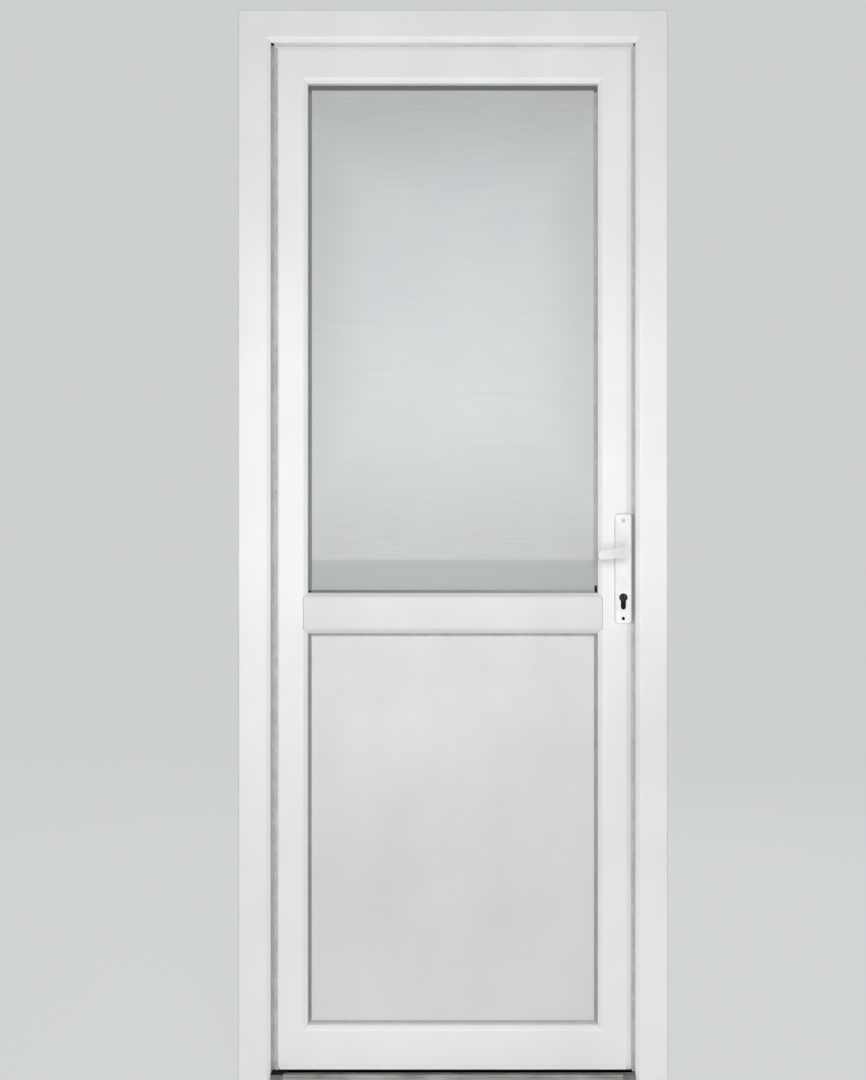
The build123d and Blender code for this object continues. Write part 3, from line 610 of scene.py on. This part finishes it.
for side, label in ((-1, "left"), (1, "right")):
    jamb = upright_bar(frame_section, frame_opening, side, 0, raw_jamb_end, (1,), weld_ease)
    round_corner(jamb, side)
    holes = [round_rod((side * fixing_x, lock_y, level), (1, 0, 0), fixing_bore, 60)
             for level in fixing_levels]
    jamb = carve(jamb, join(*holes))
    if side > 0:
        for level, height in bolt_windows:
            low, high = level - height / 2, level + height / 2
            jamb = carve(jamb, brick((390, lock_y - 9, low), (410, lock_y + 9, high)))
    finish_piece(f"profile_jamb_{label}", jamb, profile_white, "frame",
                 (f"frame_jamb_{label}",))

head = level_bar(frame_section, frame_opening, 1, -460, 460, (-1, 1), weld_ease)
for side in (-1, 1):
    round_corner(head, side)
finish_piece("profile_head", head, profile_white, "frame", ("frame_head",))

half, bottom, top = frame_opening
seals = join(
    upright_bar(upright_seal, frame_opening, -1, sill_top, top - 1.6),
    upright_bar(upright_seal, frame_opening, 1, sill_top, top - 1.6),
    level_bar(level_seal, frame_opening, 1, -half - 4, half + 4, ()),
)
finish_piece("soft_frame_seal", seals, frame_seal_grey, "frame", ("frame_seal",))

# Black blocks in the head's corners: painted shade where the seal's corner leaves a dark hollow
head_corner_shade = join(
    brick((-half, -27, top - 1.4), (-half + 6, -14, top), 0.5),
    brick((half - 2.4, -27, top - 1.4), (half, -14, top), 0.5),
)
finish_piece("head_corner_shade_blocks", head_corner_shade, black_plastic, "frame")

# Threshold: its top rises to a ridge, with a rubber strip behind it under the leaf
sill = section(sill_section, lambda depth, height: (-half, depth, height))
extend(sill, (2 * half, 0, 0))
block_ends = mirrored_bricks((half - 26, front - 1, -1), (half + 1, front + sill_depth, 30))
sill = carve(sill, block_ends)
sill_arms = mirrored_bricks((half, leg_back, 0), (half + 20, 33, sill_top))
finish_piece("ridged_sill", join(sill, sill_arms), aluminium, "frame", ("threshold",))

strip = brick((-half + 0.2, strip_y[0] + 0.1, 15.2), (half - 0.2, strip_y[1] - 0.1, 15.95), 0.2)
finish_piece("sill_rubber_strip", strip, brush_black, "frame")

draught_wedge = brick((-half + 2, front + sill_depth + 0.2, sill_top),
                      (-half + 33, -15.5, 20.2), 0.3)
front_wedge = brick((-half + 0.5, front + 5, sill_top), (-half + 26, front + 13.5, 19), 0.8)
finish_piece("sill_corner_wedge", join(draught_wedge, front_wedge), black_plastic, "frame")

# Leaf
stile_section = leaf_section(nose_half - leaf_opening[0], body_half - leaf_opening[0])
top_section = leaf_section(76.5, 87)

for side, label in ((-1, "hinge"), (1, "lock")):
    stile = upright_bar(stile_section, leaf_opening, side, leaf_bottom, raw_stile_end, (-1, 1),
                        weld_ease)
    if side > 0:
        stile = carve(stile, round_rod((handle_x, -10, screw_levels[1]), (0, 1, 0), empty_bore,
                                       40))
    finish_piece(f"profile_stile_{label}_side", stile, profile_white, "leaf",
                 (f"stile_{label}_side",))

# Painted shadow: a grey strip on the hinge side's nose bevel, where the jamb's leg casts shade
strip = upright_bar(shadow_strip_section, leaf_opening, -1, leaf_bottom + 0.5, 2125)
finish_piece("hinge_side_shadow_strip", strip, nose_shadow_grey, "leaf")


def rail_plan(low, high):
    """A tall solid whose plan is that of the rails between the stiles' stepped outer edges."""
    right = [
        (350, -30, 0), (nose_half - 10, leaf_front, 2.5), (nose_half, -15, 1.0),
        (nose_half, -10, 0), (body_half, -10, 0), (body_half, 38, 0), (overlap_half, 38, 0),
        (overlap_half, 60, 0),
    ]
    left = [(-across, depth, radius) for across, depth, radius in reversed(right)]
    plan = section(left + right, lambda across, depth: (across, depth, low))
    return extend(plan, (0, 0, high - low))


top_rail = level_bar(top_section, leaf_opening, 1, -420, 420, (-1, 1), weld_ease)
top_rail = carve(top_rail, rail_plan(2000, 2200), "INTERSECT")
finish_piece("profile_top_rail", top_rail, profile_white, "leaf", ("top_rail",))

bottom_rail = level_bar(bottom_section, leaf_opening, -1, -420, 420, (-1, 1), weld_ease)
bottom_rail = carve(bottom_rail, rail_plan(0, 200), "INTERSECT")
finish_piece("profile_bottom_rail", bottom_rail, profile_white, "leaf",
             ("bottom_rail",))

drip = brick((-nose_half + 10, leaf_front - 0.4, leaf_bottom + 2),
             (nose_half - 10, -14, 28.5), 0.7)
finish_piece("bottom_drip_edge", drip, bead_white, "leaf")

half, low, high = glass_opening[0], panel_opening[2], glass_opening[1]
mid_section = [
    (low + 22, leaf_back, 0), (high - 22, leaf_back, 0), (high - 22, lip_back, 0),
    (high, lip_back, 0.5), (high, -14, 1.0), (high - 9, -20, 2.5), (low + 9, -20, 2.5),
    (low, -14, 1.0), (low, lip_back, 0.5), (low + 22, lip_back, 0),
]
mid_end = [
    (half + 25, -30, 0), (half + 9, leaf_front, 0), (half, -14, 0), (half, lip_back, 0),
    (half + 22, lip_back, 0), (half + 22, 60, 0),
]
mid_rail = extend(section(mid_section, lambda height, depth: (-340, depth, height)), (680, 0, 0))
plan_points = [(-across, depth, radius) for across, depth, radius in reversed(mid_end)] + mid_end
plan = extend(section(plan_points, lambda across, depth: (across, depth, low - 40)), (0, 0, 160))
mid_rail = carve(mid_rail, plan, "INTERSECT")
finish_piece("profile_mid_rail", mid_rail, mid_rail_shaded_white, "leaf", ("mid_rail",))

joint_edge = half + 9
joints = mirrored_bricks((joint_edge - 0.9, leaf_front - 0.05, low + 8),
                         (joint_edge, -18, high - 8))
finish_piece("mid_rail_joint_lines", joints, inner_seal_grey, "leaf")

# Beads and gaskets of the two openings
def bars_round(opening, upright_points, low_points, high_points, ease):
    """The two upright and the two level bars round an opening, mitred at its corners."""
    half, low, high = opening
    uprights = [upright_bar(upright_points, opening, side, low - 30, high + 30, (-1, 1), ease)
                for side in (-1, 1)]
    levels = [level_bar(points, opening, end, -half - 30, half + 30, (-1, 1), ease)
              for end, points in ((-1, low_points), (1, high_points))]
    return {"upright": join(*uprights), "level": join(*levels)}


for opening, label, lips, tones in (
        (glass_opening, "glass", (6.5, 5, 8.5), (glass_seal_grey, glass_seal_grey)),
        (panel_opening, "panel", (6, 3.4, 7), (panel_seal_grey, panel_level_grey))):
    beads = bars_round(opening, bead_section, bead_section, bead_section, mitre_ease)
    for way, bars in beads.items():
        finish_piece(f"{label}_beads_{way}_profile", bars, bead_white, "leaf",
                     (f"{label}_beads_{way}",))
    gaskets = bars_round(opening, *[gasket_section(lip) for lip in lips], 0.0)
    for (way, bars), tone in zip(gaskets.items(), tones):
        finish_piece(f"{label}_gasket_{way}_lip", bars, tone, "leaf",
                     (f"{label}_gasket_outer",))

half, low, high = glass_opening
# Black blocks at the glass's lower corners: painted shade of the gasket's corner gaps
gasket_gap_shade = join(
    brick((-half, -0.4, low), (-half + 5, 3, low + 4), 0.4),
    brick((half - 5, -0.4, low), (half, 3, low + 15), 0.4),
)
finish_piece("gasket_corner_shade_blocks", gasket_gap_shade, black_plastic, "leaf")


# Handles
plate_half, plate_up, plate_down = 17.5, 80, 146
keyhole_radius, keyhole_slot = 8.8, 5.3


def long_plate(face, seat, levels):
    """A long handle plate from its face to the leaf, with its bores and its keyhole.

    Each level has the height of a bore, its radius and its depth.
    """
    outline = [
        (handle_x - plate_half, handle_z + plate_up, 7),
        (handle_x + plate_half, handle_z + plate_up, 7),
        (handle_x + plate_half, handle_z - plate_down, 7),
        (handle_x - plate_half, handle_z - plate_down, 7),
    ]
    plate = section(outline, lambda across, up: (across, face, up))
    extend(plate, (0, seat - face, 0))
    rim = [edge for edge in plate.edges
           if all(abs(vert.co.y - face * MM) < 1e-6 for vert in edge.verts)]
    soften(plate, rim, 4, 4)
    inward = 1 if seat > face else -1
    for level, radius, depth in levels:
        plate = carve(plate, round_rod((handle_x, face, level), (0, 1, 0), radius, 2 * depth))
    bore = round_rod((handle_x, face, cylinder_z), (0, 1, 0), keyhole_radius, 40)
    throat = brick((handle_x - keyhole_slot, min(face, seat) - 2, key_slot_z),
                   (handle_x + keyhole_slot, max(face, seat) + 2, cylinder_z))
    foot = round_rod((handle_x, face, key_slot_z), (0, 1, 0), keyhole_slot, 40)
    for tool in (bore, throat, foot):
        plate = carve(plate, tool)
    return carve(plate, round_rod((handle_x, face + inward * 5, handle_z), (0, 1, 0), 8.1, 20))


outer_plate = long_plate(plate_front, leaf_front, (
    (screw_levels[0], head_seat, 3), (screw_levels[0], shank_bore, 12),
    (screw_levels[1], 4.4, 1.2), (screw_levels[1], empty_bore, 12)))
finish_piece("outer_handle_plate", outer_plate, coat_white, "leaf",
             ("handle_plate_outer",))
inner_plate = long_plate(plate_back, leaf_back, (
    (screw_levels[0], head_seat, 3), (screw_levels[0], shank_bore, 12),
    (screw_levels[1], head_seat, 3), (screw_levels[1], shank_bore, 12)))
finish_piece("inner_handle_plate", inner_plate, coat_white, "leaf",
             ("handle_plate_inner",))


def short_lever(far_face, neck_end):
    """A short blunt lever with a rounded hub, on its round neck."""
    outline = [
        (352.5, 1098.5, 9), (338, 1098.5, 8), (322, 1092.5, 8), (293, 1090, 7),
        (293, 1072.2, 7), (338, 1074.5, 8), (352.5, 1075, 9),
    ]
    inward = 1 if neck_end > far_face else -1
    grip = section(outline, lambda across, up: (across, far_face, up))
    extend(grip, (0, inward * 12, 0))
    rims = [edge for edge in grip.edges if any(len(face.verts) > 4 for face in edge.link_faces)]
    soften(grip, rims, 4.5, 5)
    near_face = far_face + inward * 8
    middle = (near_face + neck_end) / 2
    neck = round_rod((handle_x, middle, handle_z), (0, 1, 0), 5.6, abs(neck_end - near_face))
    return join(grip, neck)


for label, far_face, neck_end in (("outer", -72, leaf_front - 0.4),
                                  ("inner", 102, leaf_back + 0.4)):
    finish_piece(f"short_{label}_lever", short_lever(far_face, neck_end), lever_shaded_white, "handles",
                 (f"lever_{label}",), 40)


# Black slabs in the key slots: painted shade that keeps the keyways dark
keyway_shade = join(*[
    brick((handle_x - 0.98, low, cylinder_z - 4.4), (handle_x + 0.98, high, cylinder_z + 4.4))
    for low, high in ((plate_front + 3.8, plate_front + 22.8),
                      (plate_back - 22.8, plate_back - 3.8))
])
finish_piece("black_keyway_shade", keyway_shade, brush_black, "leaf")

# A black sleeve in the empty screw hole: painted shade of the hole's depth
hole_shade = round_rod((handle_x, -17, screw_levels[1]), (0, 1, 0), 3.45, 23)
hole_shade = carve(hole_shade, round_rod((handle_x, -18, screw_levels[1]), (0, 1, 0), 3.1, 23))
finish_piece("empty_screw_hole_shade", hole_shade, brush_black, "leaf")


def cross_screw(centre, axis, radius, thick, slot=1.2):
    """A domed screw head with a cross recess, its outer face turned along the axis."""
    along = Vector(axis)
    head = round_rod(Vector(centre) - along * thick / 2, axis, radius, thick, radius * 0.2)
    for width, height in ((radius * 1.2, slot), (slot, radius * 1.2)):
        low = Vector(centre) - Vector((width / 2, 1.0, height / 2))
        high = Vector(centre) + Vector((width / 2, 1.0, height / 2))
        head = carve(head, brick(low, high))
    return head


heads = []
for level, face, end in ((screw_levels[0], plate_front, 14.7), (screw_levels[0], plate_back, 15.3),
                         (screw_levels[1], plate_back, 20)):
    out = -1 if face < 0 else 1
    heads.append(cross_screw((handle_x, face, level), (0, out, 0), 4, 3))
    shank_start = face - out * 3
    heads.append(round_rod((handle_x, (shank_start + end) / 2, level), (0, 1, 0), 2.5,
                           abs(shank_start - end), segments=16))
finish_piece("cross_plate_screws", join(*heads), screw_steel, "leaf",
             ("plate_screws",))


# Hinges
def frame_half_of_hinge(level):
    """The lower half of a hinge: plate, block and capped barrel."""
    foot, top = level - hinge_reach, level + hinge_reach
    plate = brick((-436, back, foot), (hinge_x, back + plate_thick, top), 1.0)
    arm = brick((-427, back, foot + 1), (hinge_x, hinge_y, level - 1), 1.2)
    barrel = round_rod((hinge_x, hinge_y, level - 27), (0, 0, 1), barrel_radius, 54, 0.8)
    cap = round_rod((hinge_x, hinge_y, foot + cap_height / 2), (0, 0, 1), cap_radius, cap_height,
                    1.4)
    return join(plate, arm, barrel, cap)


def leaf_half_of_hinge(level):
    """The upper half of a hinge: plate, web and capped barrel."""
    foot, top = level - hinge_reach, level + hinge_reach
    plate = brick((-396, leaf_back, foot), (-350, leaf_back + plate_thick, top), 1.0)
    web = brick((hinge_x, leaf_back, level + 2), (-392, leaf_back + 10, top - 1), 1.2)
    barrel = round_rod((hinge_x, hinge_y, level + 27.15), (0, 0, 1), barrel_radius, 53.7, 0.8)
    cap = round_rod((hinge_x, hinge_y, top - cap_height / 2), (0, 0, 1), cap_radius, cap_height,
                    1.4)
    return join(plate, web, barrel, cap)


for label, level in hinge_levels.items():
    finish_piece(f"{label}_hinge_frame_half", frame_half_of_hinge(level), coat_white, "frame",
                 (f"hinge_{label}_on_frame",))
    finish_piece(f"{label}_hinge_leaf_half", leaf_half_of_hinge(level), coat_white, "leaf",
                 (f"hinge_{label}_on_leaf",))

proud_face = plate_thick + screw_proud
hinge_screw_places = {
    "frame": (back + proud_face, ((-421.5, 13), (-421.5, 43))),
    "leaf": (leaf_back + proud_face, ((-360, -42), (-380, -20), (-360, 20), (-380, 42))),
}
for body, (face, places) in hinge_screw_places.items():
    screws = [cross_screw((across, face, level + up), (0, 1, 0), 4, 1.5)
              for level in hinge_levels.values() for across, up in places]
    finish_piece(f"hinge_screws_in_{body}", join(*screws), steel, body)

# Finishes of the CAD nodes that stay as they are
finishes = {
    panel_white: ("lower_panel",),
    inner_seal_grey: ("leaf_seal", "panel_gasket_inner", "glass_gasket_inner"),
    brush_black: ("bottom_brush",),
    black_plastic: ("setting_blocks",),
    sill_grey: ("threshold_end_blocks",),
    film_glass: ("glass_outer_pane",),
    inner_glass: ("glass_inner_pane",),
    steel: ("keep_centre", "keep_ends", "lock_case", "latch_bolt", "dead_bolt", "hinge_pins",
            "spindle"),
    aluminium: ("glass_spacer",),
    brass: ("lock_cylinder",),
    plug_brass: ("cylinder_plugs",),
}
for finish, names in finishes.items():
    for name in names:
        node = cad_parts[name]
        node.data.materials.clear()
        node.data.materials.append(finish)


# Floor and air: one pale tone where they are looked at, straight or in glass and metal
studio_tone = linear("cdd0cf")
floor_evenness, floor_glow = 0.87, 1.08


def looked_at(tree):
    """How far a ray comes from the camera or from a mirroring or clear surface."""
    path = add_node(tree, "ShaderNodeLightPath", give=None)
    seen = path.outputs["Is Camera Ray"]
    for ray in ("Is Glossy Ray", "Is Transmission Ray"):
        seen = add_node(tree, "ShaderNodeMath", {0: seen, 1: path.outputs[ray]},
                        operation="MAXIMUM")
    return seen


floor_paint = bpy.data.materials.new("pale_studio_paint")
floor_paint.use_nodes = True
paint = floor_paint.node_tree
paint.nodes.clear()
matt = add_node(paint, "ShaderNodeBsdfDiffuse", {"Color": linear("f2f3f3")})
even = add_node(paint, "ShaderNodeEmission", {"Color": studio_tone, "Strength": floor_glow})
evenness = add_node(paint, "ShaderNodeMath", {0: looked_at(paint), 1: floor_evenness},
                    operation="MULTIPLY")
shown = add_node(paint, "ShaderNodeMixShader", {0: evenness, 1: matt, 2: even})
add_node(paint, "ShaderNodeOutputMaterial", {"Surface": shown}, give=None)

floor = bmesh.new()
bmesh.ops.create_grid(floor, x_segments=1, y_segments=1, size=60)
studio_floor = as_object("studio_floor", floor)
studio_floor.data.materials.append(floor_paint)


# Light
def soft_lamp(name, place, aim, width, height, power, colour):
    """A rectangular studio lamp at a place, turned to a point."""
    lamp = bpy.data.lights.new(name, "AREA")
    lamp.shape = "RECTANGLE"
    lamp.size, lamp.size_y = width, height
    lamp.energy = power
    lamp.color = linear(colour)[:3]
    made = bpy.data.objects.new(name, lamp)
    made.location = place
    made.rotation_euler = (Vector(aim) - Vector(place)).to_track_quat("-Z", "Y").to_euler()
    made.visible_camera = False
    bpy.context.scene.collection.objects.link(made)


soft_lamp("key_lamp", (0, -2.4, 1.6), (0, 0, 1.5), 1.4, 1.0, 25, "fffefe")
soft_lamp("low_lamp", (-0.1, -2.4, 0.5), (0, 0, 0), 1.4, 0.4, 14, "fffefe")
soft_lamp("room_lamp", (0.6, 2.4, 2.4), (0, 0, 1.1), 1.6, 1.6, 30, "fffefe")

# World: the studio tone where it is looked at, and a light that is weaker from left and right
front_light, side_light = 0.68, 0.08
world = bpy.data.worlds.new("studio_air")
world.use_nodes = True
air = world.node_tree
air.nodes.clear()
towards = add_node(air, "ShaderNodeTexCoord", give="Generated")
sideways = add_node(air, "ShaderNodeSeparateXYZ", {"Vector": towards}, "X")
sideways = add_node(air, "ShaderNodeMath", {0: sideways}, operation="ABSOLUTE")
strength = add_node(air, "ShaderNodeMapRange", {
    "Value": sideways, "From Min": 0.1, "From Max": 0.75, "To Min": front_light,
    "To Max": side_light},
    interpolation_type="SMOOTHSTEP")
ambient = add_node(air, "ShaderNodeBackground", {"Color": linear("eef0f3"), "Strength": strength})
shown = add_node(air, "ShaderNodeBackground", {"Color": studio_tone, "Strength": 1.0})
mixed = add_node(air, "ShaderNodeMixShader", {0: looked_at(air), 1: ambient, 2: shown})
add_node(air, "ShaderNodeOutputWorld", {"Surface": mixed}, give=None)
bpy.context.scene.world = world

# Camera: level, 2.8 m in front of the frame's face
camera_data = bpy.data.cameras.new("photo_camera")
camera_data.sensor_fit = "VERTICAL"
camera_data.sensor_height = 36
camera_data.lens = 45.6
camera = bpy.data.objects.new("photo_camera", camera_data)
camera.location = (-0.041, -2.835, 1.112)
camera.rotation_euler = (math.radians(90), 0, 0)
bpy.context.scene.collection.objects.link(camera)
bpy.context.scene.camera = camera
bpy.context.scene.view_settings.view_transform = "Standard"
